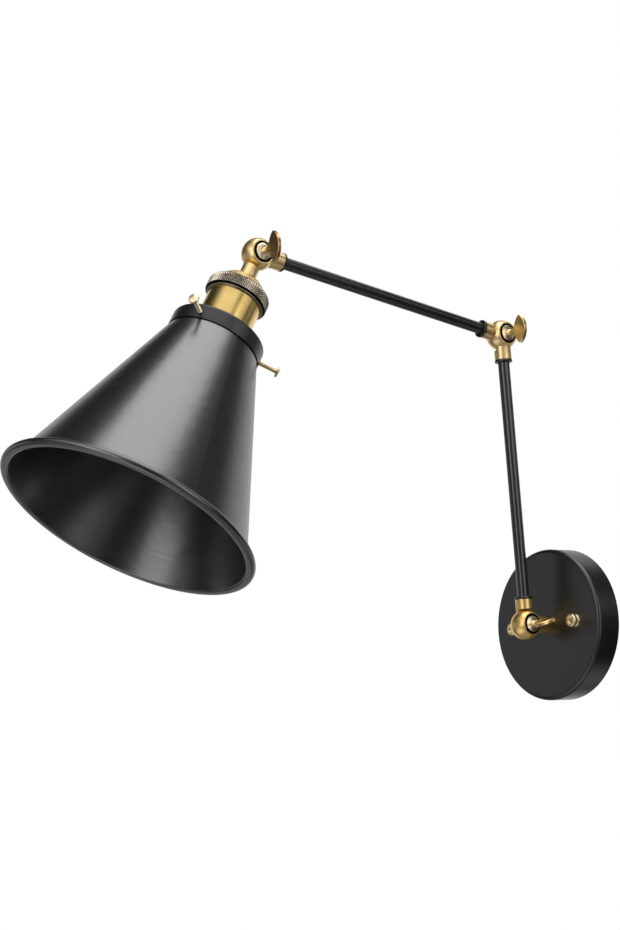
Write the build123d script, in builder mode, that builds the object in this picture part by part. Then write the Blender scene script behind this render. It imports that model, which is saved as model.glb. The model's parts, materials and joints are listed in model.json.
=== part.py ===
from build123d import *
import math
import os

# Swing arm wall lamp: a wall canopy, two arms on three clamped ball knuckles, and a cone shade.
# Millimetres and degrees. The origin is the centre of the canopy's back, on the wall. +Z is up and
# the lamp reaches out along -Y. Angles rise from straight out of the wall, in the arms' plane.

# Pose at rest
lower_arm_angle = 88.7
upper_arm_angle = 9.5
head_angle = -59.3
wall_wing_angle = -16.0
elbow_wing_angle = 90.0
head_wing_angle = 90.0

# Clearances
slip = 0.05
screw_slip = 0.1
tip_gap = 0.3

# Canopy, the cup on the wall
canopy_diameter = 120.0
canopy_depth = 21.3
canopy_wall = 1.2
canopy_edge_radius = 3.0

# Crossbar behind the canopy, with slots for a wall box and studs for the canopy
crossbar_length = 104.0
crossbar_width = 18.0
crossbar_thickness = 2.0
crossbar_corner_radius = 4.0
box_slot_spacing = 88.9
box_slot_length = 9.0
box_slot_width = 4.6
stud_spacing = 70.0
stud_diameter = 4.0
stud_recess = 1.6
canopy_nut_diameter = 10.2
canopy_nut_flange = 2.2
canopy_nut_groove_width = 1.0
canopy_nut_groove_diameter = 8.2
canopy_nut_head = 3.4
canopy_nut_groove_radius = 0.7
canopy_nut_face_radius = 1.2
canopy_nut_countersink = 6.4
ground_screw_diameter = 4.0
ground_screw_place = 21.0
ground_screw_head_diameter = 7.6
ground_screw_head_height = 2.4

# Threaded pipe that joins a knuckle to the canopy and to the socket
pipe_diameter = 10.0
pipe_bore = 7.8
pipe_insert = 6.0
pipe_tail = 8.0
washer_diameter = 18.0
washer_thickness = 1.0
pipe_nut_width = 14.0
pipe_nut_height = 3.0

# Knuckle, a ball split square to its pivot
wall_standoff = 21.1
ball_diameter = 24.0
knuckle_gap = 0.1
ball_face = 8.0
ball_back = 10.4
ball_edge_radius = 0.4
seat_diameter = 15.8
seat_depth = 2.8
neck_diameter = 13.5
neck_length = 20.0
neck_relief = 0.4
pivot_boss_diameter = 8.0
wire_room_diameter = 16.4
wire_room_depth = 3.4
wire_hole_diameter = 3.4
wire_hole_offset = 2.2

# Wing screw through a knuckle
screw_diameter = 5.0
screw_tip = 9.0
collar_diameter = 13.2
collar_height = 3.2
collar_edge_radius = 0.8
collar_crown = 1.2
collar_crown_halfway = 0.73
stem_diameter = 4.8
stem_overlap = 2.0
leaf_reach = 23.0
leaf_length = 22.8
leaf_width = 13.0
leaf_thickness = 2.8
leaf_tip_radius = 0.8
leaf_edge_chamfer = 0.3

# Arms
arm_length = 232.0
tube_diameter = 9.2
tube_wall = 0.9
tube_insert = 7.0
ring_diameter = 14.0
ring_width = 2.0
ring_edge_radius = 0.7
wire_diameter = 1.5
wire_pitch = 1.6

# Lamp head, measured along its axis from the head knuckle
head_neck_diameter = 12.7
head_neck_length = 21.8
cap_diameter = 46.8
cap_top_diameter = 15.0
cap_rise = 11.0
cap_shoulder = 3.0
cap_shoulder_land = 0.2
cap_band = 10.4
cap_band_chamfer = 0.6
cap_boss = 3.6
cap_wall = 1.5
cap_lip_diameter = 42.8
cap_lip_height = 1.0
shell_in_cap = 8.6
shell_diameter = 40.0
shell_length = 29.0
shell_bore = 34.8
shell_thread_diameter = 37.4
shell_thread_length = 9.6
shell_lip_bore = 31.6
shell_lip_width = 1.2
holder_length = 34.0
holder_floor = 8.0
screw_shell_bore = 26.6
screw_shell_wall = 0.5
screw_shell_length = 21.6
contact_diameter = 8.0
contact_height = 2.0
contact_room_diameter = 20.0
contact_clearance = 0.4
terminal_spacing = 18.0
terminal_diameter = 3.0
terminal_depth = 4.0
terminal_head_diameter = 5.4
terminal_head_height = 1.6

# Fitter cup and its ring
fitter_diameter = 70.0
fitter_height = 12.0
fitter_wall = 1.2
fitter_edge_radius = 2.0
shade_ring_diameter = 52.0
shade_ring_height = 5.0
shade_ring_notch = 4.0
shade_ring_notches = 6

# Thumb screws of the fitter
thumb_count = 3
thumb_first_angle = 53.0
thumb_diameter = 3.2
thumb_length = 15.4
thumb_head_diameter = 7.8
thumb_head_height = 2.4
thumb_head_radius = 1.2
thumb_from_rim = 4.8
thumb_lip_clearance = 0.5

# Shade
shade_gap = 1.0
shade_wall = 0.8
shade_step = 0.4
shade_neck_clearance = 0.4
shade_lip_width = 0.9
shade_lip_height = 1.2
shade_height = 148.8
shade_mouth_diameter = 188.4
shade_rim_height = 5.2
shade_rim_width = 7.2
shade_rim_inner_radius = 1.6
shade_curl_gap = 0.8

pivot_axis = Vector(1, 0, 0)
wall = Plane.XZ


def direction(angle):
    """Unit vector at an angle above straight out of the wall, in the arms' plane."""
    turn = math.radians(angle)
    return Vector(0, -math.cos(turn), math.sin(turn))


lower_arm = direction(lower_arm_angle)
upper_arm = direction(upper_arm_angle)
head_axis = direction(head_angle)
to_wall = Vector(0, 1, 0)

wall_pivot = Vector(0, -(canopy_depth + wall_standoff), 0)
elbow_pivot = wall_pivot + lower_arm * arm_length
head_pivot = elbow_pivot + upper_arm * arm_length


def frame_along(origin, towards):
    """Plane square to a direction, with its x on the pivot axis."""
    return Plane(origin, x_dir=pivot_axis, z_dir=towards)


def section_along(origin, towards):
    """Plane through the pivot axis, its x, with its y along a direction."""
    return Plane(origin, x_dir=pivot_axis, z_dir=pivot_axis.cross(towards))


def finish(builder, name):
    """Labels a finished piece and writes it."""
    builder.part.label = name
    export_step(builder.part, f"parts/{name}.step")


os.makedirs("parts", exist_ok=True)

# Canopy
with BuildPart() as canopy:
    with BuildSketch(wall):
        Circle(canopy_diameter / 2)
    extrude(amount=canopy_depth)
    fillet(canopy.faces().sort_by(Axis.Y)[0].edges(), canopy_edge_radius)
    offset(amount=-canopy_wall, openings=canopy.faces().sort_by(Axis.Y)[-1])
    with BuildSketch(wall.offset(canopy_depth)):
        Circle(pipe_diameter / 2 + slip)
        with GridLocations(stud_spacing, 0, 2, 1):
            Circle(stud_diameter / 2 + screw_slip)
    extrude(amount=-canopy_depth, mode=Mode.SUBTRACT)
finish(canopy, "canopy")

# Crossbar, flat against the wall
with BuildPart() as crossbar:
    with BuildSketch(wall):
        RectangleRounded(crossbar_length, crossbar_width, crossbar_corner_radius)
        Circle(pipe_diameter / 2 + screw_slip, mode=Mode.SUBTRACT)
        with GridLocations(stud_spacing, 0, 2, 1):
            Circle(stud_diameter / 2 + slip, mode=Mode.SUBTRACT)
        with GridLocations(box_slot_spacing, 0, 2, 1):
            SlotOverall(box_slot_length, box_slot_width, mode=Mode.SUBTRACT)
        with Locations((ground_screw_place, 0)):
            Circle(ground_screw_diameter / 2 + slip, mode=Mode.SUBTRACT)
    extrude(amount=crossbar_thickness)
finish(crossbar, "crossbar")

# Canopy studs, screwed into the crossbar and standing through the canopy
canopy_nut_height = canopy_nut_flange + canopy_nut_groove_width + canopy_nut_head
with BuildPart() as canopy_studs:
    with BuildSketch(wall):
        with GridLocations(stud_spacing, 0, 2, 1):
            Circle(stud_diameter / 2)
    extrude(amount=canopy_depth + canopy_nut_height - stud_recess)
finish(canopy_studs, "canopy_studs")

# Canopy nuts, each a rounded flange and a rounded head with a groove between them
nut_radius = canopy_nut_diameter / 2
nut_head_start = canopy_nut_flange + canopy_nut_groove_width
nut_corners = (
    ((nut_radius, canopy_nut_flange), canopy_nut_groove_radius),
    ((nut_radius, nut_head_start), canopy_nut_groove_radius),
    ((nut_radius, canopy_nut_height), canopy_nut_face_radius),
)
with BuildPart() as canopy_nuts:
    for stud_place in (-stud_spacing / 2, stud_spacing / 2):
        nut_foot = Vector(stud_place, -(canopy_depth + slip), 0)
        with BuildSketch(section_along(nut_foot, -to_wall)) as nut_profile:
            with BuildLine():
                Polyline(
                    (stud_diameter / 2 + slip, 0),
                    (nut_radius, 0),
                    (nut_radius, canopy_nut_flange),
                    (canopy_nut_groove_diameter / 2, canopy_nut_flange),
                    (canopy_nut_groove_diameter / 2, nut_head_start),
                    (nut_radius, nut_head_start),
                    (nut_radius, canopy_nut_height),
                    (canopy_nut_countersink / 2, canopy_nut_height),
                    (canopy_nut_countersink / 2, canopy_nut_height - stud_recess),
                    (stud_diameter / 2 + slip, canopy_nut_height - stud_recess),
                    close=True,
                )
            make_face()
            for corner, radius in nut_corners:
                fillet(nut_profile.vertices().sort_by_distance(corner)[0], radius)
        revolve(axis=Axis(nut_foot, to_wall))
finish(canopy_nuts, "canopy_nuts")

# Ground screw in the crossbar
with BuildPart() as ground_screw:
    with BuildSketch(wall):
        with Locations((ground_screw_place, 0)):
            Circle(ground_screw_diameter / 2)
    extrude(amount=crossbar_thickness + slip)
    with BuildSketch(wall.offset(crossbar_thickness + slip)):
        with Locations((ground_screw_place, 0)):
            Circle(ground_screw_head_diameter / 2)
    extrude(amount=ground_screw_head_height)
    fillet(ground_screw.edges().group_by(Axis.Y)[0], ground_screw_head_height / 2)
finish(ground_screw, "ground_screw")


def pipe(name, start, length):
    """Threaded pipe along a plane's normal, with a through bore for the wires."""
    with BuildPart() as piece:
        with BuildSketch(start):
            Circle(pipe_diameter / 2)
            Circle(pipe_bore / 2, mode=Mode.SUBTRACT)
        extrude(amount=length)
    finish(piece, name)


def pipe_nut(name, seat):
    """Hexagon nut on the pipe, standing on a plane."""
    with BuildPart() as piece:
        with BuildSketch(seat):
            RegularPolygon(pipe_nut_width / 2, 6, major_radius=False)
            Circle(pipe_diameter / 2 + slip, mode=Mode.SUBTRACT)
        extrude(amount=pipe_nut_height)
    finish(piece, name)


# Fixing of the wall knuckle: pipe through the canopy, washer and nut behind it
wall_pipe_start = canopy_depth - canopy_wall - pipe_tail
pipe("wall_pipe", wall.offset(wall_pipe_start), canopy_depth + pipe_insert - wall_pipe_start)
washer_face = wall.offset(canopy_depth - canopy_wall - slip)
with BuildPart() as wall_washer:
    with BuildSketch(washer_face):
        Circle(washer_diameter / 2)
        Circle(pipe_diameter / 2 + slip, mode=Mode.SUBTRACT)
    extrude(amount=-washer_thickness)
finish(wall_washer, "wall_washer")
pipe_nut("wall_nut", washer_face.offset(-washer_thickness - slip - pipe_nut_height))


def knuckle_half(name, pivot, towards, side, neck, length, bore, bore_depth):
    """Half of a split ball with its neck. Side 1 holds the wing screw's seat, side -1 its thread."""
    ball_radius = ball_diameter / 2
    split = side * knuckle_gap / 2
    flat = side * (ball_face if side > 0 else ball_back)
    middle = (split + flat) / 2
    bore_floor = length - bore_depth
    neck_frame = frame_along(pivot, towards)
    outward = pivot_axis * side
    split_frame = Plane(pivot + pivot_axis * split, x_dir=towards, z_dir=outward)
    with BuildPart() as half:
        with BuildSketch(section_along(pivot, towards)):
            with BuildLine():
                arc = ThreePointArc(
                    (split, math.sqrt(ball_radius**2 - split**2)),
                    (middle, math.sqrt(ball_radius**2 - middle**2)),
                    (flat, math.sqrt(ball_radius**2 - flat**2)),
                )
                Polyline(arc @ 1, (flat, 0), (split, 0), arc @ 0)
            make_face()
        revolve(axis=Axis(pivot, pivot_axis))
        fillet(half.faces().sort_by(Axis(pivot, outward))[-1].edges(), ball_edge_radius)
        with BuildSketch(neck_frame):
            Circle(neck / 2)
        extrude(amount=length)
        # The neck is cut flat where it passes over the other half
        with BuildSketch(neck_frame):
            with Locations((split, 0)):
                Rectangle(neck, neck, align=(Align.MAX if side > 0 else Align.MIN, Align.CENTER))
        extrude(amount=ball_radius + neck_relief, mode=Mode.SUBTRACT)
        with BuildSketch(neck_frame.offset(length)):
            Circle(bore / 2 + slip)
        extrude(amount=-bore_depth, mode=Mode.SUBTRACT)
        # Wires leave the bore for a ring-shaped room round the pivot
        with BuildSketch(neck_frame.offset(bore_floor)):
            with Locations((side * wire_hole_offset, 0)):
                Circle(wire_hole_diameter / 2)
        extrude(amount=-(bore_floor - pivot_boss_diameter / 2 - wire_hole_diameter / 2), mode=Mode.SUBTRACT)
        with BuildSketch(split_frame):
            Circle(wire_room_diameter / 2)
            Circle(pivot_boss_diameter / 2, mode=Mode.SUBTRACT)
        extrude(amount=wire_room_depth, mode=Mode.SUBTRACT)
        with BuildSketch(split_frame):
            Circle(screw_diameter / 2 + (screw_slip if side > 0 else slip))
        extrude(amount=ball_radius, mode=Mode.SUBTRACT)
        if side > 0:
            with BuildSketch(split_frame.offset(ball_face - knuckle_gap / 2)):
                Circle(seat_diameter / 2)
            extrude(amount=-seat_depth, mode=Mode.SUBTRACT)
    finish(half, name)


def wing_screw(name, pivot, leaf_axis):
    """Clamping screw on the pivot axis, with a domed collar and a leaf-shaped wing."""
    seat = ball_face - seat_depth + slip
    collar_top = seat + collar_height
    stem_end = leaf_reach - leaf_width / 2 + stem_overlap
    with BuildPart() as screw:
        with BuildSketch(section_along(pivot + pivot_axis * leaf_reach, leaf_axis)) as leaf:
            with BuildLine():
                ThreePointArc((0, -leaf_length / 2), (leaf_width / 2, 0), (0, leaf_length / 2))
                ThreePointArc((0, leaf_length / 2), (-leaf_width / 2, 0), (0, -leaf_length / 2))
            make_face()
            fillet(leaf.vertices(), leaf_tip_radius)
        extrude(amount=leaf_thickness / 2, both=True)
        chamfer(screw.faces().filter_by(GeomType.PLANE).edges(), leaf_edge_chamfer)
        with BuildSketch(section_along(pivot, leaf_axis)) as stem:
            with BuildLine():
                shank = Polyline(
                    (-screw_tip, 0),
                    (-screw_tip, screw_diameter / 2),
                    (seat, screw_diameter / 2),
                    (seat, collar_diameter / 2),
                    (collar_top, collar_diameter / 2),
                )
                crown = ThreePointArc(
                    shank @ 1,
                    (collar_top + collar_crown_halfway, (collar_diameter + stem_diameter) / 4),
                    (collar_top + collar_crown, stem_diameter / 2),
                )
                Polyline(crown @ 1, (stem_end, stem_diameter / 2), (stem_end, 0), shank @ 0)
            make_face()
            collar_edge = stem.vertices().sort_by_distance((collar_top, collar_diameter / 2))[0]
            fillet(collar_edge, collar_edge_radius)
        revolve(axis=Axis(pivot, pivot_axis))
    finish(screw, name)


def tube(name, start, towards):
    """Arm tube between two knuckles, let into both necks."""
    reach = neck_length - tube_insert + slip
    with BuildPart() as piece:
        with BuildSketch(frame_along(start, towards).offset(reach)):
            Circle(tube_diameter / 2)
            Circle(tube_diameter / 2 - tube_wall, mode=Mode.SUBTRACT)
        extrude(amount=arm_length - 2 * reach)
    finish(piece, name)


def lock_rings(name, start, towards):
    """Lock rings on the tube, one against each neck."""
    frame = frame_along(start, towards)
    with BuildPart() as piece:
        for place in (neck_length + slip, arm_length - neck_length - slip - ring_width):
            with BuildSketch(frame.offset(place)):
                Circle(ring_diameter / 2)
            extrude(amount=ring_width)
        fillet(piece.edges(), ring_edge_radius)
        with BuildSketch(frame):
            Circle(tube_diameter / 2 + slip)
        extrude(amount=arm_length, mode=Mode.SUBTRACT)
    finish(piece, name)


def wire_pair(name, start, end):
    """Two straight wires side by side."""
    run = end - start
    with BuildPart() as piece:
        with BuildSketch(Plane(start, x_dir=run.cross(pivot_axis), z_dir=run)):
            with GridLocations(wire_pitch, 0, 2, 1):
                Circle(wire_diameter / 2)
        extrude(amount=run.length)
    finish(piece, name)


# Knuckles: the half towards the wall carries the screw's seat, the half towards the lamp its thread
wall_neck = (neck_diameter, wall_standoff - slip, pipe_diameter, pipe_insert)
arm_neck = (neck_diameter, neck_length, tube_diameter, tube_insert)
head_neck = (head_neck_diameter, head_neck_length, pipe_diameter, pipe_insert)
knuckle_half("wall_knuckle_front", wall_pivot, to_wall, 1, *wall_neck)
knuckle_half("wall_knuckle_rear", wall_pivot, lower_arm, -1, *arm_neck)
knuckle_half("elbow_knuckle_front", elbow_pivot, -lower_arm, 1, *arm_neck)
knuckle_half("elbow_knuckle_rear", elbow_pivot, upper_arm, -1, *arm_neck)
knuckle_half("head_knuckle_front", head_pivot, -upper_arm, 1, *arm_neck)
knuckle_half("head_knuckle_rear", head_pivot, head_axis, -1, *head_neck)

wing_screw("wall_wing_screw", wall_pivot, direction(wall_wing_angle))
wing_screw("elbow_wing_screw", elbow_pivot, direction(elbow_wing_angle))
wing_screw("head_wing_screw", head_pivot, direction(head_wing_angle))

# Arms, each with its wires running from the rear half's hole to the front half's
wire_start = ball_diameter / 2
hole_shift = pivot_axis * wire_hole_offset
for arm, start, towards in (("lower_arm", wall_pivot, lower_arm), ("upper_arm", elbow_pivot, upper_arm)):
    tube(f"{arm}_tube", start, towards)
    lock_rings(f"{arm}_rings", start, towards)
    wire_pair(
        f"{arm}_wires",
        start + towards * wire_start - hole_shift,
        start + towards * (arm_length - wire_start) + hole_shift,
    )

# Stations of the lamp head along its axis
head_line = Axis(head_pivot, head_axis)
head_section = section_along(head_pivot, head_axis)
head_frame = frame_along(head_pivot, head_axis)
cap_top = head_neck_length + slip
cap_band_top = cap_top + cap_rise
cap_band_bottom = cap_band_top + cap_band
shell_top = cap_band_bottom - shell_in_cap
shell_step = cap_band_bottom + shell_length
shell_bottom = shell_step + shell_thread_length
holder_bottom = shell_bottom - shell_lip_width - slip
holder_top = holder_bottom - holder_length
fitter_bottom = shell_step + slip + fitter_height
shade_shoulder = fitter_bottom + shade_gap
shade_mouth = shade_shoulder + shade_height

# Socket cap: a hollow dome over a round-shouldered band that screws onto the shell, with a lip below
shell_room = shell_diameter / 2 + slip
dome_edge = cap_diameter / 2 - cap_shoulder
dome_slope = cap_rise / (dome_edge - cap_top_diameter / 2)
dome_inset = cap_wall * math.hypot(1, 1 / dome_slope)
nut_seat = cap_top + cap_boss
seat_edge = cap_top_diameter / 2 + cap_boss / dome_slope - dome_inset
with BuildPart() as socket_cap:
    with BuildSketch(head_section) as cap_profile:
        with BuildLine():
            Polyline(
                (pipe_diameter / 2 + slip, cap_top),
                (cap_top_diameter / 2, cap_top),
                (dome_edge, cap_band_top),
                (cap_diameter / 2, cap_band_top),
                (cap_diameter / 2, cap_band_bottom - cap_band_chamfer),
                (cap_diameter / 2 - cap_band_chamfer, cap_band_bottom),
                (cap_lip_diameter / 2, cap_band_bottom),
                (cap_lip_diameter / 2, cap_band_bottom + cap_lip_height),
                (shell_room, cap_band_bottom + cap_lip_height),
                (shell_room, nut_seat + (shell_room - seat_edge) * dome_slope),
                (seat_edge, nut_seat),
                (pipe_diameter / 2 + slip, nut_seat),
                close=True,
            )
        make_face()
        shoulder_corner = cap_profile.vertices().sort_by_distance((cap_diameter / 2, cap_band_top))[0]
        fillet(shoulder_corner, cap_shoulder - cap_shoulder_land)
    revolve(axis=head_line)
finish(socket_cap, "socket_cap")

# Pipe and nut that hold the cap to the head knuckle
socket_pipe_start = head_neck_length - pipe_insert + slip
socket_pipe_end = nut_seat + slip + pipe_nut_height + slip
pipe("socket_pipe", head_frame.offset(socket_pipe_start), socket_pipe_end - socket_pipe_start)
pipe_nut("socket_nut", head_frame.offset(nut_seat + slip))

# Socket shell, stepped down to a thread for the fitter, with a lip that holds the lamp holder
with BuildPart() as socket_shell:
    with BuildSketch(head_section):
        with BuildLine():
            Polyline(
                (shell_diameter / 2, shell_top),
                (shell_diameter / 2, shell_step),
                (shell_thread_diameter / 2, shell_step),
                (shell_thread_diameter / 2, shell_bottom),
                (shell_lip_bore / 2, shell_bottom),
                (shell_lip_bore / 2, shell_bottom - shell_lip_width),
                (shell_bore / 2, shell_bottom - shell_lip_width),
                (shell_bore / 2, shell_top),
                close=True,
            )
        make_face()
    revolve(axis=head_line)
finish(socket_shell, "socket_shell")

# Lamp holder: insulating cup with a step for the screw shell and two blind holes for its terminals
holder_bore = screw_shell_bore / 2 + screw_shell_wall + slip
holder_inside = holder_top + holder_floor
screw_shell_seat = holder_inside + slip + contact_height + contact_clearance
with BuildPart() as lamp_holder:
    with BuildSketch(head_frame.offset(holder_top)):
        Circle(shell_bore / 2 - slip)
    extrude(amount=holder_length)
    with BuildSketch(head_frame.offset(holder_bottom)):
        Circle(holder_bore)
    extrude(amount=screw_shell_seat - slip - holder_bottom, mode=Mode.SUBTRACT)
    with BuildSketch(head_frame.offset(holder_bottom)):
        Circle(contact_room_diameter / 2)
    extrude(amount=holder_inside - holder_bottom, mode=Mode.SUBTRACT)
    with BuildSketch(head_frame.offset(holder_top)):
        with GridLocations(0, terminal_spacing, 1, 2):
            Circle(terminal_diameter / 2 + slip)
    extrude(amount=terminal_depth + slip, mode=Mode.SUBTRACT)
finish(lamp_holder, "lamp_holder")

# Terminal screws on top of the holder
with BuildPart() as terminal_screws:
    with BuildSketch(head_frame.offset(holder_top + terminal_depth)):
        with GridLocations(0, terminal_spacing, 1, 2):
            Circle(terminal_diameter / 2)
    extrude(amount=-(terminal_depth + slip))
    with BuildSketch(head_frame.offset(holder_top - slip)):
        with GridLocations(0, terminal_spacing, 1, 2):
            Circle(terminal_head_diameter / 2)
    extrude(amount=-terminal_head_height)
finish(terminal_screws, "terminal_screws")

# Screw shell that takes the bulb, and the centre contact on the floor below it
with BuildPart() as screw_shell:
    with BuildSketch(head_frame.offset(screw_shell_seat)):
        Circle(screw_shell_bore / 2 + screw_shell_wall)
        Circle(screw_shell_bore / 2, mode=Mode.SUBTRACT)
    extrude(amount=screw_shell_length)
finish(screw_shell, "screw_shell")

with BuildPart() as centre_contact:
    with BuildSketch(head_frame.offset(holder_inside + slip)):
        Circle(contact_diameter / 2)
    extrude(amount=contact_height)
    fillet(centre_contact.faces().sort_by(head_line)[-1].edges(), contact_height / 2)
finish(centre_contact, "centre_contact")

# Wires from the head knuckle down to the holder
wire_pair(
    "socket_wires",
    head_pivot + head_axis * wire_start - hole_shift,
    head_pivot + head_axis * (holder_top - slip) - hole_shift,
)


def thumb_plane(turn):
    """Plane on the head's axis, facing out along one of the thumb screws."""
    angle = math.radians(thumb_first_angle + turn * 360 / thumb_count)
    outward = pivot_axis * math.cos(angle) + head_axis.cross(pivot_axis) * math.sin(angle)
    return Plane(head_pivot + head_axis * (fitter_bottom - thumb_from_rim), x_dir=head_axis, z_dir=outward)


# Fitter cup, hung on the shell's step
with BuildPart() as shade_fitter:
    with BuildSketch(head_frame.offset(shell_step + slip)):
        Circle(fitter_diameter / 2)
    extrude(amount=fitter_height)
    fillet(shade_fitter.faces().sort_by(head_line)[0].edges(), fitter_edge_radius)
    offset(amount=-fitter_wall, openings=shade_fitter.faces().sort_by(head_line)[-1])
    with BuildSketch(head_frame.offset(shell_step)):
        Circle(shell_thread_diameter / 2 + slip)
    extrude(amount=2 * fitter_wall, mode=Mode.SUBTRACT)
    for turn in range(thumb_count):
        with BuildSketch(thumb_plane(turn)):
            Circle(thumb_diameter / 2 + slip)
        extrude(amount=fitter_diameter, mode=Mode.SUBTRACT)
finish(shade_fitter, "shade_fitter")

# Shade ring that clamps the fitter from below, notched for a grip
with BuildPart() as shade_ring:
    ring_top = shell_step + slip + fitter_wall + slip
    with BuildSketch(head_frame.offset(ring_top)):
        Circle(shade_ring_diameter / 2)
        Circle(shell_thread_diameter / 2 + slip, mode=Mode.SUBTRACT)
        with PolarLocations(shade_ring_diameter / 2, shade_ring_notches):
            Circle(shade_ring_notch / 2, mode=Mode.SUBTRACT)
    extrude(amount=shade_ring_height)
finish(shade_ring, "shade_ring")

# The shade's neck slides up into the fitter, with its lip clear of the cup's wall and above the thumb screws
shade_neck_diameter = fitter_diameter - 2 * (fitter_wall + shade_neck_clearance + shade_lip_width)
lip_over_rim = thumb_from_rim + thumb_diameter / 2 + thumb_lip_clearance
shade_neck_height = shade_gap + lip_over_rim + shade_lip_height
shade_top_diameter = fitter_diameter - 2 * shade_step

# Thumb screws, with their tips at the shade's neck
thumb_tip = shade_neck_diameter / 2 + tip_gap
for turn in range(thumb_count):
    thumb_foot = thumb_plane(turn).offset(thumb_tip)
    with BuildPart() as thumb_screw:
        with BuildSketch(thumb_foot):
            Circle(thumb_diameter / 2)
        extrude(amount=thumb_length)
        with BuildSketch(thumb_foot.offset(thumb_length)):
            Circle(thumb_head_diameter / 2)
        extrude(amount=thumb_head_height)
        end_faces = thumb_screw.faces().filter_by(GeomType.PLANE)
        outer_face = end_faces.sort_by(Axis(thumb_foot.origin, thumb_foot.z_dir))[-1]
        fillet(outer_face.edges(), thumb_head_radius)
    finish(thumb_screw, f"thumb_screw_{turn + 1}")

# Shade: neck with a lip, shoulder, cone, and a rim that curls outwards and back up to the cone
cone_bottom = shade_mouth_diameter / 2 - shade_rim_width
cone_slope = (cone_bottom - shade_top_diameter / 2) / (shade_height - shade_rim_height)
cone_inset = shade_wall * math.hypot(1, cone_slope)
neck_top = shade_shoulder - shade_neck_height
rim_top = shade_mouth - shade_rim_height
rim_radius = shade_rim_height / 2
rim_centre = shade_mouth_diameter / 2 - rim_radius
curl_end = cone_bottom + shade_curl_gap
mouth_inside = cone_bottom + cone_slope * shade_rim_height - cone_inset
with BuildPart() as shade:
    with BuildSketch(head_section) as shade_profile:
        with BuildLine():
            outside = Polyline(
                (shade_neck_diameter / 2 - shade_wall, neck_top),
                (shade_neck_diameter / 2 + shade_lip_width, neck_top),
                (shade_neck_diameter / 2 + shade_lip_width, neck_top + shade_lip_height),
                (shade_neck_diameter / 2, neck_top + shade_lip_height),
                (shade_neck_diameter / 2, shade_shoulder),
                (shade_top_diameter / 2, shade_shoulder),
                (mouth_inside + cone_inset - cone_slope * shade_wall, shade_mouth - shade_wall),
                (rim_centre, shade_mouth - shade_wall),
            )
            curl_inside = ThreePointArc(
                outside @ 1,
                (rim_centre + rim_radius - shade_wall, shade_mouth - rim_radius),
                (rim_centre, rim_top + shade_wall),
            )
            curl_edge = Polyline(
                curl_inside @ 1,
                (curl_end, rim_top + shade_wall),
                (curl_end, rim_top),
                (rim_centre, rim_top),
            )
            curl_outside = ThreePointArc(
                curl_edge @ 1,
                (shade_mouth_diameter / 2, shade_mouth - rim_radius),
                (rim_centre, shade_mouth),
            )
            Polyline(
                curl_outside @ 1,
                (mouth_inside, shade_mouth),
                (shade_top_diameter / 2 - cone_inset + cone_slope * shade_wall, shade_shoulder + shade_wall),
                (shade_neck_diameter / 2 - shade_wall, shade_shoulder + shade_wall),
                outside @ 0,
            )
        make_face()
        inner_edge = shade_profile.vertices().sort_by_distance((mouth_inside, shade_mouth))[0]
        fillet(inner_edge, shade_rim_inner_radius)
    revolve(axis=head_line)
finish(shade, "shade")
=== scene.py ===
import json
import math

import bpy
from mathutils import Matrix, Vector


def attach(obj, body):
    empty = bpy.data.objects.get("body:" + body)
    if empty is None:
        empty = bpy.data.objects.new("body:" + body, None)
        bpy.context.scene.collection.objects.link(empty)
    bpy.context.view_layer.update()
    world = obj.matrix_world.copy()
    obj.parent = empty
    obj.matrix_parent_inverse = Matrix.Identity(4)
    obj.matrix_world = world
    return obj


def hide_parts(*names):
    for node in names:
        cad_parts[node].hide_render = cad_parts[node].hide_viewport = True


# Swing arm wall lamp: finishes for every piece, a knurled socket cap, a rolled socket thread, cut
# thumb screws and a plain white studio. Metres, in the part's own frame: the wall is at y = 0.

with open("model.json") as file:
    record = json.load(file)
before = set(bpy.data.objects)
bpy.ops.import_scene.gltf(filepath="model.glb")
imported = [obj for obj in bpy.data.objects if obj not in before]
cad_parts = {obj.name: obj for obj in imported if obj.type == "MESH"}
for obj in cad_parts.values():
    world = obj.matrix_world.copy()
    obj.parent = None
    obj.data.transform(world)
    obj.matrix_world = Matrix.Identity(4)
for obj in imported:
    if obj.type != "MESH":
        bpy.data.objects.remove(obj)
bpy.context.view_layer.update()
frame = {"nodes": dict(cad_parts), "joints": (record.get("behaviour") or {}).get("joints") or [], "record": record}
nodes = frame["nodes"]
joints = {joint["name"]: joint for joint in frame["joints"]}
mounts = {mount["name"]: mount for mount in frame["record"]["mounts"]}

millimetre = 0.001
side_axis = Vector((1, 0, 0))
out_of_wall = Vector((0, -1, 0))
wall_pivot = Vector(joints["wall_tilt"]["pos_m"])
elbow_pivot = Vector(joints["elbow_tilt"]["pos_m"])
head_pivot = Vector(joints["head_tilt"]["pos_m"])
head_axis = Vector(mounts["bulb_socket"]["axis"]).normalized()

# Knurled socket cap, in millimetres, with heights from the head's pivot along its axis
cap_top = 21.85
cap_top_radius = 7.5
cap_bore_radius = 5.05
cap_dome_radius = 20.4
cap_dome_inset = 0.5
cap_dome_bulge = 1.3
cap_dome_steps = 8
cap_band_top = 32.85
cap_band_bottom = 43.25
cap_band_radius = 23.4
cap_band_roll = 2.8
cap_roll_steps = 3
cap_bottom_slope = 0.9
cap_bottom_step = 0.2
cap_lip_radius = 21.4
cap_lip_bottom = 44.25
cap_lip_edge = 0.3
cap_nut_seat = 25.45
cap_nut_seat_radius = 9.4
cap_inside_radius = 20.05
cap_inside_top = 34.5
knurl_teeth = 72
knurl_depth = 0.7

# Wing screws, in millimetres from the pivot: the groove round the collar, and the start of the leaf
seat_radius = 7.9
collar_radius = 6.6
collar_end = 13.0
groove_blur = 0.25
# Brightness of the painted shade in the groove round the collar and in the knuckle's seat
groove_shade_brightness = 0.03
leaf_start = 16.5
leaf_blur = 1.5

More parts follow.
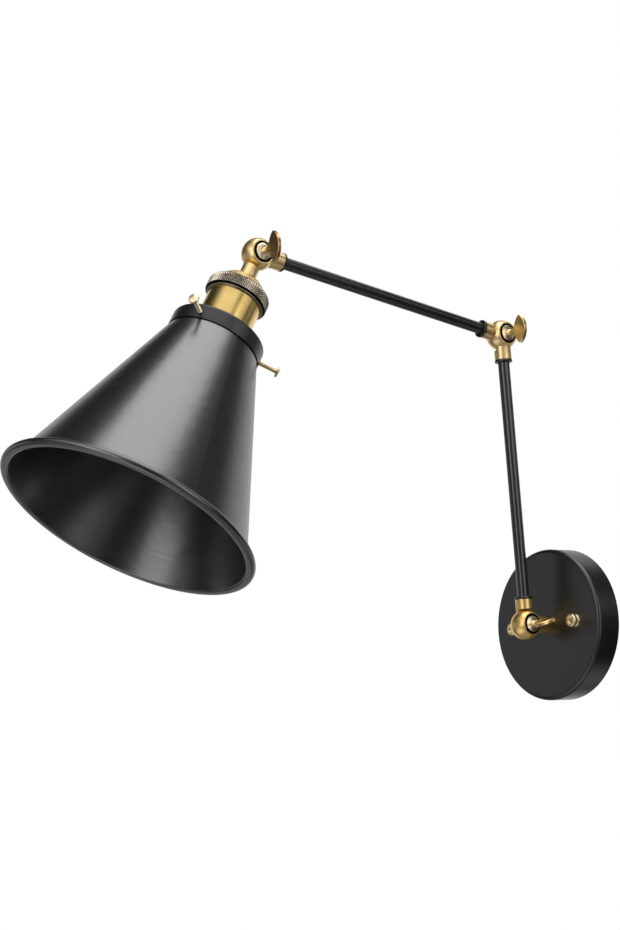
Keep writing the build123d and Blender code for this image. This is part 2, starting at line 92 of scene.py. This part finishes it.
# Rolled thread of the bulb's screw shell, in millimetres
shell_wall = 0.5
shell_sheet = 0.4
shell_columns = 64
shell_rows_per_turn = 14
thread_pitch = 3.63
thread_swell = 0.34
thread_plain_end = 1.5

# Thumb screws of the fitter, in millimetres. Shares are of the head's radius or of the crown's height
thumb_pitch = 0.7
thumb_thread_depth = 0.3
thumb_rows_per_turn = 8
thumb_tip_taper = 0.5
thumb_neck_gap = 0.1
thumb_head_share = 0.9
thumb_head_teeth = 28
thumb_head_knurl = 0.16
thumb_head_edge = 0.45
thumb_crown = 0.6
thumb_crown_share = 0.5
thumb_crown_drop_share = 0.3
thumb_flat_share = 0.15

# Folds sharper than this show as an edge
crease_angle = math.radians(35)

# Most values of a noise pattern lie between these two
noise_low = 0.3
noise_high = 0.7

# Colours of the black coat, of the painted highlight on a wing screw's collar, and of the knurl's grooves
# and points, and how much the knurl is stained
coat_deep = (0.0045, 0.0045, 0.0049)
coat_pale = (0.0075, 0.0075, 0.0078)
collar_highlight_brass = (0.97, 0.81, 0.54)
knurl_groove = (0.006, 0.005, 0.004)
knurl_point = (0.7, 0.62, 0.5)
knurl_stain = 0.35


def add(material, kind, **settings):
    """Adds a shader node and sets its properties."""
    node = material.node_tree.nodes.new(kind)
    for key, value in settings.items():
        setattr(node, key, value)
    return node


def wire(material, source, target):
    """Joins one node's output to another's input."""
    material.node_tree.links.new(source, target)


def combine(material, operation, first, second):
    """Result of one operation on two values. Each is a node's output or a plain number."""
    node = add(material, "ShaderNodeMath", operation=operation)
    for value, socket in zip((first, second), node.inputs):
        if isinstance(value, (int, float)):
            socket.default_value = value
        else:
            wire(material, value, socket)
    return node.outputs[0]


def new_finish(name, metallic, specular=0.5):
    """A material with one Principled shader. Returns both."""
    material = bpy.data.materials.new(name)
    material.use_nodes = True
    shader = material.node_tree.nodes["Principled BSDF"]
    shader.inputs["Metallic"].default_value = metallic
    shader.inputs["Specular IOR Level"].default_value = specular
    return material, shader


def dress(material, shader, colour, roughness, normal):
    """Joins a finish's colour, roughness and relief to its shader."""
    wire(material, colour, shader.inputs["Base Color"])
    wire(material, roughness, shader.inputs["Roughness"])
    wire(material, normal, shader.inputs["Normal"])


def from_point(material, point):
    """Vector from a point to a place on the surface, in the part's rest frame."""
    place = add(material, "ShaderNodeTexCoord")
    shift = add(material, "ShaderNodeVectorMath", operation="SUBTRACT")
    shift.inputs[1].default_value = point
    wire(material, place.outputs["Object"], shift.inputs[0])
    return shift.outputs["Vector"]


def along(material, vector, axis):
    """Length of a vector along an axis."""
    length = add(material, "ShaderNodeVectorMath", operation="DOT_PRODUCT")
    length.inputs[1].default_value = axis
    wire(material, vector, length.inputs[0])
    return length.outputs["Value"]


def round_side_axis(material, vector):
    """Distance of a vector's end from the side axis through its start."""
    across = add(material, "ShaderNodeVectorMath", operation="MULTIPLY")
    across.inputs[1].default_value = Vector((1, 1, 1)) - side_axis
    radius = add(material, "ShaderNodeVectorMath", operation="LENGTH")
    wire(material, vector, across.inputs[0])
    wire(material, across.outputs["Vector"], radius.inputs[0])
    return radius.outputs["Value"]


def grain(material, per_metre, detail, stretch=(1, 1, 1)):
    """Noise in the part's rest frame, with its cells stretched along the axes."""
    place = add(material, "ShaderNodeTexCoord")
    scale = add(material, "ShaderNodeMapping")
    scale.inputs["Scale"].default_value = stretch
    noise = add(material, "ShaderNodeTexNoise")
    noise.inputs["Scale"].default_value = per_metre
    noise.inputs["Detail"].default_value = detail
    wire(material, place.outputs["Object"], scale.inputs["Vector"])
    wire(material, scale.outputs["Vector"], noise.inputs["Vector"])
    return noise.outputs[0]


def rings(material, pivot, axis, per_metre, detail):
    """Fine rings round an axis, as a lathe leaves them: noise along the axis alone."""
    noise = add(material, "ShaderNodeTexNoise", noise_dimensions="1D")
    noise.inputs["Scale"].default_value = per_metre
    noise.inputs["Detail"].default_value = detail
    wire(material, along(material, from_point(material, pivot), axis), noise.inputs["W"])
    return noise.outputs[0]


def between(material, pattern, low, high):
    """Maps a noise pattern's middle range onto a range of values."""
    span = add(material, "ShaderNodeMapRange")
    span.inputs["From Min"].default_value = noise_low
    span.inputs["From Max"].default_value = noise_high
    span.inputs["To Min"].default_value = low
    span.inputs["To Max"].default_value = high
    wire(material, pattern, span.inputs["Value"])
    return span.outputs["Result"]


def scaled(material, share, low, high):
    """Maps a share from 0 to 1 onto a range of values."""
    span = add(material, "ShaderNodeMapRange")
    span.inputs["To Min"].default_value = low
    span.inputs["To Max"].default_value = high
    wire(material, share, span.inputs["Value"])
    return span.outputs["Result"]


def fade(material, value, none, full):
    """Eases from 0 to 1 as a value goes from one bound to the other."""
    ease = add(material, "ShaderNodeMapRange", interpolation_type="SMOOTHSTEP")
    ease.inputs["From Min"].default_value = none
    ease.inputs["From Max"].default_value = full
    wire(material, value, ease.inputs["Value"])
    return ease.outputs["Result"]


def tint(material, pattern, first, second, start=noise_low, end=noise_high):
    """Runs from one colour to another between two values of a pattern."""
    ramp = add(material, "ShaderNodeValToRGB")
    ramp.color_ramp.elements[0].position = start
    ramp.color_ramp.elements[0].color = (*first, 1)
    ramp.color_ramp.elements[1].position = end
    ramp.color_ramp.elements[1].color = (*second, 1)
    wire(material, pattern, ramp.inputs["Fac"])
    return ramp.outputs["Color"]


def bump(material, pattern, strength, depth, under=None):
    """Normal of a pattern's relief, with its depth in millimetres, on top of another normal if given."""
    relief = add(material, "ShaderNodeBump")
    relief.inputs["Strength"].default_value = strength
    relief.inputs["Distance"].default_value = depth * millimetre
    wire(material, pattern, relief.inputs["Height"])
    if under is not None:
        wire(material, under, relief.inputs["Normal"])
    return relief.outputs["Normal"]


def black_coat(name, ior, roughness, peel=0.1, spun_on=None):
    """Satin black powder coat with a soft orange peel and uneven gloss. Sheet that was spun on an axis
    through a pivot also has faint rings and dents."""
    material, shader = new_finish(name, metallic=0.0)
    shader.inputs["IOR"].default_value = ior
    uneven = grain(material, per_metre=40, detail=3)
    colour = tint(material, uneven, coat_deep, coat_pale)
    normal = bump(material, grain(material, per_metre=900, detail=2), strength=peel, depth=0.01)
    if spun_on is not None:
        uneven = rings(material, *spun_on, per_metre=420, detail=4)
        dents = grain(material, per_metre=60, detail=3)
        normal = bump(material, uneven, strength=0.07, depth=0.02, under=normal)
        normal = bump(material, dents, strength=0.5, depth=0.4, under=normal)
    dress(material, shader, colour, between(material, uneven, *roughness), normal)
    return material


def painted_collar_highlight(material, pivot, leaf_colour, highlight_colour):
    """Colour of a wing screw whose collar and stem are painted paler than its leaf, as a painted highlight."""
    reach = along(material, from_point(material, pivot), side_axis)
    leaf = fade(material, reach, (leaf_start - leaf_blur) * millimetre, leaf_start * millimetre)
    mix = add(material, "ShaderNodeMix", data_type="RGBA")
    inputs = {socket.identifier: socket for socket in mix.inputs}
    outputs = {socket.identifier: socket for socket in mix.outputs}
    inputs["A_Color"].default_value = (*highlight_colour, 1)
    wire(material, leaf, inputs["Factor_Float"])
    wire(material, leaf_colour, inputs["B_Color"])
    return outputs["Result_Color"]


def painted_groove_shade(material, pivot, colour, clear_radius, dark_radius):
    """Colour of metal with painted shade, nearly black, in the groove round a wing screw's collar."""
    place = from_point(material, pivot)
    radius = round_side_axis(material, place)
    reach = along(material, place, side_axis)
    near = fade(material, radius, clear_radius * millimetre, dark_radius * millimetre)
    below = fade(material, reach, collar_end * millimetre, (collar_end - groove_blur) * millimetre)
    in_groove = combine(material, "MULTIPLY", near, below)
    groove_shaded = add(material, "ShaderNodeVectorMath", operation="SCALE")
    wire(material, colour, groove_shaded.inputs[0])
    wire(material, scaled(material, in_groove, 1, groove_shade_brightness), groove_shaded.inputs["Scale"])
    return groove_shaded.outputs["Vector"]


def turned_metal(name, pivot, axis, roughness, pale, deep, groove=None, collar=None):
    """Satin metal, turned round an axis: fine rings, a cloudy lacquer and small scuffs. A groove has the radii
    where its painted shade starts and where it is fully dark. A collar gets a painted highlight in a colour of its
    own."""
    material, shader = new_finish(name, metallic=1.0)
    cloud = grain(material, per_metre=90, detail=4)
    lines = rings(material, pivot, axis, per_metre=5200, detail=4)
    scuffs = grain(material, per_metre=700, detail=3)
    colour = tint(material, cloud, deep, pale)
    if collar is not None:
        colour = painted_collar_highlight(material, pivot, colour, collar)
    if groove is not None:
        colour = painted_groove_shade(material, pivot, colour, *groove)
    normal = bump(material, lines, strength=0.06, depth=0.008)
    normal = bump(material, scuffs, strength=0.04, depth=0.008, under=normal)
    dress(material, shader, colour, between(material, lines, *roughness), normal)
    return material


def plain_metal(name, roughness, pale, deep):
    """Plated or painted metal with a brushed, slightly mottled face."""
    material, shader = new_finish(name, metallic=1.0)
    cloud = grain(material, per_metre=160, detail=4)
    brush = grain(material, per_metre=500, detail=3, stretch=(1, 12, 12))
    normal = bump(material, brush, strength=0.2, depth=0.02)
    dress(material, shader, tint(material, cloud, deep, pale), between(material, brush, *roughness), normal)
    return material


def insulator(name, roughness, pale, deep):
    """Plastic or ceramic with a faint mottle and a fine pored face."""
    material, shader = new_finish(name, metallic=0.0)
    cloud = grain(material, per_metre=120, detail=4)
    pores = grain(material, per_metre=1800, detail=2)
    normal = bump(material, pores, strength=0.3, depth=0.01)
    dress(material, shader, tint(material, cloud, deep, pale), between(material, cloud, *roughness), normal)
    return material


def knurled_bronze(name, roughness):
    """Antique bronze: dark in the grooves and rubbed to a paler metal on the points of the knurl."""
    material, shader = new_finish(name, metallic=1.0)
    height = add(material, "ShaderNodeAttribute", attribute_name="rubbed")
    cloud = grain(material, per_metre=500, detail=3)
    stain = combine(material, "MULTIPLY", cloud, knurl_stain)
    worn = combine(material, "ADD", stain, height.outputs["Fac"])
    colour = tint(material, worn, knurl_groove, knurl_point, start=0.45, end=1.0)
    normal = bump(material, cloud, strength=0.15, depth=0.01)
    dress(material, shader, colour, between(material, cloud, *roughness), normal)
    return material


coat = black_coat("black_coat", ior=1.65, roughness=(0.32, 0.36))
canopy_coat = black_coat("black_coat_canopy", ior=1.7, roughness=(0.32, 0.36))
tube_coat = black_coat("black_coat_tube", ior=1.8, roughness=(0.26, 0.3), peel=0.005)
shade_coat = black_coat(
    "black_coat_shade", ior=2.1, roughness=(0.275, 0.325), spun_on=(head_pivot, head_axis),
)

# Brass of the knuckles and of the leaves of their wing screws. The leaves are lit and shaded copies of one
# brass: the head's leaf is darker as painted shade, the elbow's paler as painted light
knuckle_roughness = (0.33, 0.42)
wing_roughness = (0.28, 0.36)
# Radii where painted shade starts and where it is fully dark: in a knuckle's seat and round a wing screw's collar
seat_groove_shade = (seat_radius + groove_blur, seat_radius)
collar_groove_shade = (collar_radius - 2 * groove_blur, collar_radius - groove_blur)
joint_brass = {
    "wall": dict(pivot=wall_pivot, axis=out_of_wall, pale=(0.95, 0.67, 0.26), deep=(0.9, 0.61, 0.22)),
    "elbow": dict(pivot=elbow_pivot, axis=side_axis, pale=(0.9, 0.68, 0.36), deep=(0.84, 0.61, 0.29)),
    "head": dict(pivot=head_pivot, axis=head_axis, pale=(0.9, 0.68, 0.34), deep=(0.84, 0.61, 0.28)),
}
lit_and_shaded_leaf_brass = {
    "wall": dict(pivot=wall_pivot, axis=side_axis, pale=(0.94, 0.67, 0.29), deep=(0.9, 0.61, 0.24)),
    "elbow": dict(pivot=elbow_pivot, axis=side_axis, pale=(0.99, 0.75, 0.31), deep=(0.96, 0.69, 0.27)),
    "head": dict(pivot=head_pivot, axis=side_axis, pale=(0.55, 0.36, 0.16), deep=(0.47, 0.3, 0.13)),
}
knuckle_brass = {}
seat_brass = {}
wing_brass = {}
for place, brass in joint_brass.items():
    knuckle_brass[place] = turned_metal(f"satin_brass_{place}", roughness=knuckle_roughness, **brass)
    # The seat gets painted shade in its groove; the wing gets painted shade round its collar and a painted
    # highlight on it
    seat_brass[place] = turned_metal(
        f"satin_brass_{place}_seat", roughness=knuckle_roughness, groove=seat_groove_shade, **brass,
    )
    wing_brass[place] = turned_metal(
        f"satin_brass_{place}_wing", roughness=wing_roughness, groove=collar_groove_shade, collar=collar_highlight_brass,
        **lit_and_shaded_leaf_brass[place],
    )

head_brass = knuckle_brass["head"]
shell_brass = turned_metal(
    "satin_brass_shell", head_pivot, head_axis, roughness=(0.23, 0.3),
    pale=(0.82, 0.6, 0.23), deep=(0.7, 0.49, 0.16),
)
polished_brass = turned_metal(
    "polished_brass", wall_pivot, out_of_wall, roughness=(0.3, 0.4),
    pale=(0.98, 0.84, 0.53), deep=(0.94, 0.77, 0.45),
)
lip_bronze = turned_metal(
    "smooth_bronze", head_pivot, head_axis, roughness=(0.36, 0.46),
    pale=(0.34, 0.29, 0.23), deep=(0.27, 0.22, 0.17),
)
bronze = knurled_bronze("knurled_bronze", roughness=(0.26, 0.4))
zinc = plain_metal("zinc_steel", roughness=(0.25, 0.42), pale=(0.66, 0.66, 0.64), deep=(0.5, 0.51, 0.5))
green_metal = plain_metal(
    "ground_green", roughness=(0.25, 0.4), pale=(0.16, 0.38, 0.16), deep=(0.09, 0.26, 0.1),
)
wire_cover = insulator(
    "wire_insulation", roughness=(0.45, 0.6), pale=(0.04, 0.04, 0.042), deep=(0.02, 0.02, 0.021),
)
holder_cover = insulator(
    "holder_insulator", roughness=(0.25, 0.4), pale=(0.78, 0.75, 0.68), deep=(0.68, 0.65, 0.58),
)

finishes = {
    coat: ("shade_fitter", "lower_arm_rings", "upper_arm_rings"),
    canopy_coat: ("canopy",),
    tube_coat: ("lower_arm_tube", "upper_arm_tube"),
    shade_coat: ("shade",),
    knuckle_brass["wall"]: ("wall_knuckle_rear", "wall_pipe", "wall_nut"),
    knuckle_brass["elbow"]: ("elbow_knuckle_rear",),
    head_brass: ("head_knuckle_rear", "socket_pipe", "socket_nut", "shade_ring", "centre_contact"),
    shell_brass: ("socket_shell",),
    polished_brass: ("canopy_nuts", "terminal_screws"),
    zinc: ("crossbar", "canopy_studs", "wall_washer"),
    green_metal: ("ground_screw",),
    wire_cover: ("lower_arm_wires", "upper_arm_wires", "socket_wires"),
    holder_cover: ("lamp_holder",),
}
for place in joint_brass:
    finishes[seat_brass[place]] = (f"{place}_knuckle_front",)
    finishes[wing_brass[place]] = (f"{place}_wing_screw",)
for material, names in finishes.items():
    for name in names:
        nodes[name].data.materials.clear()
        nodes[name].data.materials.append(material)


def outline(node, origin, axis):
    """Height along an axis and radius round it, in millimetres, of each point of a CAD node."""
    places = []
    for vertex in nodes[node].data.vertices:
        reach = vertex.co - origin
        height = reach.dot(axis)
        places.append((height / millimetre, (reach - axis * height).length / millimetre))
    return places


def turned(name, origin, axis, columns, rows, swell, materials, material_of, closed, folded=None):
    """A piece turned round an axis. Rows are radius and height in millimetres. Swell adds to a point's
    radius, by column and row. A closed profile is a ring of rows; an open one gets end faces. Faces of
    the folded material are the facets of a knurl."""
    side = axis.orthogonal().normalized()
    across = axis.cross(side)
    points = []
    for row, (radius, height) in enumerate(rows):
        for column in range(columns):
            turn = 2 * math.pi * column / columns
            reach = (radius + swell(column, row)) * millimetre
            outwards = side * math.cos(turn) + across * math.sin(turn)
            points.append(origin + axis * height * millimetre + outwards * reach)
    faces = []
    kinds = []
    for row in range(len(rows) if closed else len(rows) - 1):
        below = row * columns
        above = (row + 1) % len(rows) * columns
        kind = material_of(row)
        for column in range(columns):
            after = (column + 1) % columns
            corners = (below + column, below + after, above + after, above + column)
            if kind == folded:
                # Each knurl facet folds along the groove between two low corners
                if (column + row) % 2:
                    faces += [(corners[0], corners[1], corners[2]), (corners[0], corners[2], corners[3])]
                else:
                    faces += [(corners[1], corners[2], corners[3]), (corners[1], corners[3], corners[0])]
                kinds += [kind, kind]
            else:
                faces.append(corners)
                kinds.append(kind)
    if not closed:
        faces.append(tuple(reversed(range(columns))))
        faces.append(tuple(range((len(rows) - 1) * columns, len(rows) * columns)))
        kinds += [material_of(0), material_of(len(rows) - 2)]
    mesh = bpy.data.meshes.new(name)
    mesh.from_pydata(points, [], faces)
    for material in materials:
        mesh.materials.append(material)
    for polygon, kind in zip(mesh.polygons, kinds):
        polygon.material_index = kind
        polygon.use_smooth = kind != folded
    mesh.validate()
    mesh.set_sharp_from_angle(angle=crease_angle)
    piece = bpy.data.objects.new(name, mesh)
    bpy.context.scene.collection.objects.link(piece)
    return piece


def knurled_cap():
    """Socket cap with a dome, a diamond knurl rolled over its top edge, and a lip below."""
    knurl, dome, lip = range(3)
    columns = 2 * knurl_teeth
    half_pitch = math.pi * cap_band_radius / knurl_teeth
    valley = cap_band_radius - knurl_depth
    straight_bottom = cap_band_bottom - cap_bottom_slope
    straight_top = cap_band_top + cap_band_roll
    straight_steps = round((straight_bottom - straight_top) / half_pitch)
    rows = [
        (cap_lip_radius + cap_bottom_step, cap_band_bottom),
        (valley, straight_bottom + cap_bottom_step),
    ]
    # Share of the knurl's full depth at each row
    marks = [0] * len(rows)
    for step in range(straight_steps + 1):
        rows.append((valley, straight_bottom + (straight_top - straight_bottom) * step / straight_steps))
        marks.append(1)
    for step in range(1, cap_roll_steps + 1):
        turn = math.pi / 2 * step / cap_roll_steps
        rows.append((
            valley - cap_band_roll * (1 - math.cos(turn)),
            straight_top - cap_band_roll * math.sin(turn),
        ))
        marks.append(1 - step / cap_roll_steps)
    dome_row = len(rows) - 1
    dome_edge = cap_dome_radius - cap_dome_inset
    dome_fall = cap_band_top - cap_top
    dome_width = dome_edge - cap_top_radius
    dome_length = math.hypot(dome_width, dome_fall)
    for step in range(cap_dome_steps + 1):
        part = step / cap_dome_steps
        bulge = cap_dome_bulge * math.sin(math.pi * part) / dome_length
        rows.append((
            dome_edge - dome_width * part + bulge * dome_fall,
            cap_band_top - dome_fall * part - bulge * dome_width,
        ))
    rows += [
        (cap_bore_radius, cap_top),
        (cap_bore_radius, cap_nut_seat),
        (cap_nut_seat_radius, cap_nut_seat),
        (cap_inside_radius, cap_inside_top),
    ]
    lip_row = len(rows)
    rows += [
        (cap_inside_radius, cap_lip_bottom),
        (cap_lip_radius - cap_lip_edge, cap_lip_bottom),
        (cap_lip_radius, cap_lip_bottom - cap_lip_edge),
        (cap_lip_radius, cap_band_bottom),
    ]
    marks += [0] * (len(rows) - len(marks))

    def raised(column, row):
        return marks[row] * ((column + row) % 2)

    def swell(column, row):
        return knurl_depth * raised(column, row)

    def material_of(row):
        if row >= lip_row:
            return lip
        return knurl if row < dome_row else dome

    cap = turned(
        "knurled_socket_cap", head_pivot, head_axis, columns, rows, swell,
        (bronze, head_brass, lip_bronze), material_of, closed=True, folded=knurl,
    )
    rubbed = cap.data.attributes.new("rubbed", "FLOAT", "POINT")
    for row in range(len(rows)):
        for column in range(columns):
            rubbed.data[row * columns + column].value = raised(column, row)
    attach(cap, "lamp_head")
    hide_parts("socket_cap")


def rolled_screw_shell():
    """Bulb's screw shell of thin sheet, with a rolled thread that ends in plain edges."""
    heights = [height for height, radius in outline("screw_shell", head_pivot, head_axis)]
    low = min(heights)
    high = max(heights)
    outside = mounts["bulb_socket"]["dims"]["r_mm"] + shell_wall
    steps = round((high - low) / thread_pitch * shell_rows_per_turn)
    places = [low + (high - low) * step / steps for step in range(steps + 1)]
    rows = [(outside, place) for place in places]
    rows += [(outside - shell_sheet, place) for place in reversed(places)]

    def swell(column, row):
        place = rows[row][1]
        wave = math.cos(2 * math.pi * (place / thread_pitch - column / shell_columns))
        ends = min(1, (place - low) / thread_plain_end, (high - place) / thread_plain_end)
        return thread_swell * ends * (wave - 1)

    shell = turned(
        "rolled_screw_shell", head_pivot, head_axis, shell_columns, rows, swell,
        (polished_brass,), lambda row: 0, closed=True,
    )
    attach(shell, "lamp_head")
    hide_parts("screw_shell")


def thumb_screw(number):
    """Thumb screw with a cut thread and a knurled, crowned head."""
    node = f"thumb_screw_{number}"
    joint = joints[f"thumb_{number}_turn"]
    origin = Vector(joint["pos_m"])
    axis = Vector(joint["axis"]).normalized()
    solid = outline(node, origin, axis)
    low = min(height for height, radius in solid)
    high = max(height for height, radius in solid)
    head_radius = max(radius for height, radius in solid)
    head_bottom = min(height for height, radius in solid if radius > head_radius * thumb_head_share)
    crest = min(radius for height, radius in solid if height < head_bottom - thumb_neck_gap)
    shank = head_bottom - low
    steps = round(shank / thumb_pitch * thumb_rows_per_turn)
    rows = [(crest - thumb_tip_taper, low)]
    for step in range(steps + 1):
        rows.append((crest, low + thumb_tip_taper + (shank - thumb_tip_taper) * step / steps))
    head_row = len(rows)
    rows += [
        (head_radius - thumb_head_edge, head_bottom),
        (head_radius, head_bottom + thumb_head_edge),
        (head_radius, high - thumb_crown - thumb_head_edge),
        (head_radius - thumb_head_edge, high - thumb_crown),
        (head_radius * thumb_crown_share, high - thumb_crown * thumb_crown_drop_share),
        (head_radius * thumb_flat_share, high),
    ]
    columns = 2 * thumb_head_teeth

    def swell(column, row):
        radius, height = rows[row]
        if 0 < row < head_row - 1:
            phase = (height / thumb_pitch - column / columns) % 1
            return -thumb_thread_depth * abs(2 * phase - 1)
        if radius == head_radius:
            return -thumb_head_knurl * (column % 2)
        return 0

    screw = turned(
        f"cut_thumb_screw_{number}", origin, axis, columns, rows, swell,
        (polished_brass,), lambda row: 0, closed=False,
    )
    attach(screw, f"thumb_{number}")
    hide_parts(node)


knurled_cap()
rolled_screw_shell()
for number in (1, 2, 3):
    thumb_screw(number)

# Camera, at the photo's place. Its offset from the wall pivot is right, up and back
camera_azimuth = math.radians(55.27)
camera_elevation = math.radians(-5.02)
camera_roll = math.radians(-3.28)
camera_offset = Vector((-0.17009, 0.00383, 1.40804))
image_height = 930
focal_pixels = 1787.58
optical_centre_row = 620
sensor_width = 36.0

back = Vector((
    math.sin(camera_azimuth) * math.cos(camera_elevation),
    -math.cos(camera_azimuth) * math.cos(camera_elevation),
    math.sin(camera_elevation),
))
right = Vector((math.cos(camera_azimuth), math.sin(camera_azimuth), 0))
up = back.cross(right)
roll = Matrix.Rotation(-camera_roll, 3, "Z")
view_rows = roll @ Matrix((right, up, back))
view_turn = view_rows.transposed()
camera_data = bpy.data.cameras.new("camera")
camera_data.sensor_width = sensor_width
camera_data.lens = focal_pixels / image_height * sensor_width
camera_data.shift_y = (optical_centre_row - image_height / 2) / image_height
camera = bpy.data.objects.new("camera", camera_data)
camera.matrix_world = Matrix.Translation(wall_pivot + view_turn @ camera_offset) @ view_turn.to_4x4()
bpy.context.scene.collection.objects.link(camera)
bpy.context.scene.camera = camera

# Studio. Floor lift is the white that is added to the floor for the camera, and floor mirrored is the
# share of it in reflections. Backdrop sides are cosines of the angle from its middle, and its heights
# and depths are sines of the elevation
studio_centre = Vector((0, -0.3, 0.1))
floor_height = -1.3
floor_radius = 1.4
floor_segments = 96
floor_fade_start = 0.5
floor_lift = 0.65
floor_mirrored = 0.1
floor_deep = (0.45, 0.45, 0.45)
floor_pale = (0.48, 0.48, 0.48)
backdrop_azimuth = -134
backdrop_dark_side = 0.5
backdrop_white_side = 0.78
backdrop_dark_height = 0.7
backdrop_white_height = 0.52
backdrop_dark_depth = -0.7
backdrop_white_depth = -0.3
room_level = 0.02
white = (1, 1, 1, 1)


def heading(azimuth, elevation):
    """Unit vector in degrees. Azimuth 0 is straight out of the wall, 90 is +X."""
    turn = math.radians(azimuth)
    rise = math.radians(elevation)
    return Vector((math.sin(turn) * math.cos(rise), -math.cos(turn) * math.cos(rise), math.sin(rise)))


def softbox(name, azimuth, elevation, distance, width, height, radiance):
    """A soft lamp aimed at the middle of the object."""
    towards = heading(azimuth, elevation)
    lamp_data = bpy.data.lights.new(name, "AREA")
    lamp_data.shape = "RECTANGLE"
    lamp_data.size = width
    lamp_data.size_y = height
    lamp_data.energy = radiance * math.pi * width * height
    lamp = bpy.data.objects.new(name, lamp_data)
    lamp.rotation_mode = "QUATERNION"
    lamp.rotation_quaternion = towards.to_track_quat("Z", "Y")
    lamp.location = studio_centre + towards * distance
    lamp.visible_camera = False
    bpy.context.scene.collection.objects.link(lamp)


softbox("front_box", azimuth=21, elevation=8, distance=1.7, width=0.9, height=1.5, radiance=2.1)
softbox("right_box", azimuth=100, elevation=3, distance=1.8, width=0.8, height=1.6, radiance=1.46)
softbox("top_box", azimuth=125, elevation=74.5, distance=1.5, width=1.28, height=1.28, radiance=3.0)
softbox("fill_box", azimuth=36, elevation=46, distance=1.6, width=3.2, height=1.3, radiance=0.9)
softbox("far_card", azimuth=121, elevation=18, distance=1.8, width=1.1, height=0.6, radiance=0.85)
softbox("rear_card", azimuth=155, elevation=7, distance=2.5, width=0.7, height=0.5, radiance=0.4)
softbox("left_card", azimuth=-57, elevation=1.5, distance=1.8, width=1.05, height=0.95, radiance=0.5)
softbox("low_box", azimuth=-15, elevation=-48, distance=1.4, width=1.6, height=0.8, radiance=0.95)
softbox("dim_card", azimuth=-16, elevation=-6, distance=1.8, width=1.1, height=1.0, radiance=0.3)
softbox("side_card", azimuth=90, elevation=-20, distance=1.7, width=1.5, height=0.5, radiance=0.38)
softbox("high_card", azimuth=196, elevation=44, distance=1.6, width=0.6, height=0.45, radiance=1.3)
softbox("low_card", azimuth=176, elevation=-48, distance=1.6, width=0.6, height=0.5, radiance=0.5)


def camera_or_mirrored(material, mirrored):
    """1 for what the camera sees, and a share of its own for what metal and glass show."""
    path = add(material, "ShaderNodeLightPath")
    reflected = combine(
        material, "MAXIMUM", path.outputs["Is Glossy Ray"], path.outputs["Is Transmission Ray"]
    )
    shown = combine(material, "MULTIPLY", reflected, mirrored)
    return combine(material, "MAXIMUM", path.outputs["Is Camera Ray"], shown)


def studio_world():
    """White to the camera. To the object it is a wide, low white backdrop in a dark room."""
    world = bpy.data.worlds.new("studio")
    world.use_nodes = True
    place = add(world, "ShaderNodeTexCoord").outputs["Generated"]
    height = add(world, "ShaderNodeSeparateXYZ")
    wire(world, place, height.inputs[0])
    sideways = along(world, place, heading(backdrop_azimuth, 0))
    across = fade(world, sideways, backdrop_dark_side, backdrop_white_side)
    upwards = fade(world, height.outputs["Z"], backdrop_dark_height, backdrop_white_height)
    downwards = fade(world, height.outputs["Z"], backdrop_dark_depth, backdrop_white_depth)
    sheet = combine(world, "MULTIPLY", across, combine(world, "MULTIPLY", upwards, downwards))
    level = combine(world, "MAXIMUM", camera_or_mirrored(world, sheet), room_level)
    background = world.node_tree.nodes["Background"]
    background.inputs["Color"].default_value = white
    wire(world, level, background.inputs["Strength"])
    bpy.context.scene.world = world


def floor():
    """A pale round floor, well below the lamp, that fades to white at its edge."""
    ring = []
    for step in range(floor_segments):
        turn = 2 * math.pi * step / floor_segments
        ring.append((
            studio_centre.x + floor_radius * math.cos(turn),
            studio_centre.y + floor_radius * math.sin(turn),
            floor_height,
        ))
    mesh = bpy.data.meshes.new("floor")
    mesh.from_pydata(ring, [], [tuple(range(floor_segments))])
    material, shader = new_finish("pale_floor", metallic=0.0, specular=0.2)
    fibre = grain(material, per_metre=60, detail=3)
    wire(material, tint(material, fibre, floor_deep, floor_pale), shader.inputs["Base Color"])
    wire(material, between(material, fibre, low=0.75, high=0.9), shader.inputs["Roughness"])
    place = add(material, "ShaderNodeTexCoord")
    radius = add(material, "ShaderNodeVectorMath", operation="DISTANCE")
    radius.inputs[1].default_value = (studio_centre.x, studio_centre.y, floor_height)
    wire(material, place.outputs["Object"], radius.inputs[0])
    edge = fade(material, radius.outputs["Value"], floor_fade_start, floor_radius)
    whiteness = scaled(material, edge, floor_lift, 1)
    lift = combine(material, "MULTIPLY", camera_or_mirrored(material, floor_mirrored), whiteness)
    shader.inputs["Emission Color"].default_value = white
    wire(material, lift, shader.inputs["Emission Strength"])
    mesh.materials.append(material)
    piece = bpy.data.objects.new("floor", mesh)
    bpy.context.scene.collection.objects.link(piece)


studio_world()
floor()
bpy.context.scene.view_settings.view_transform = "Standard"
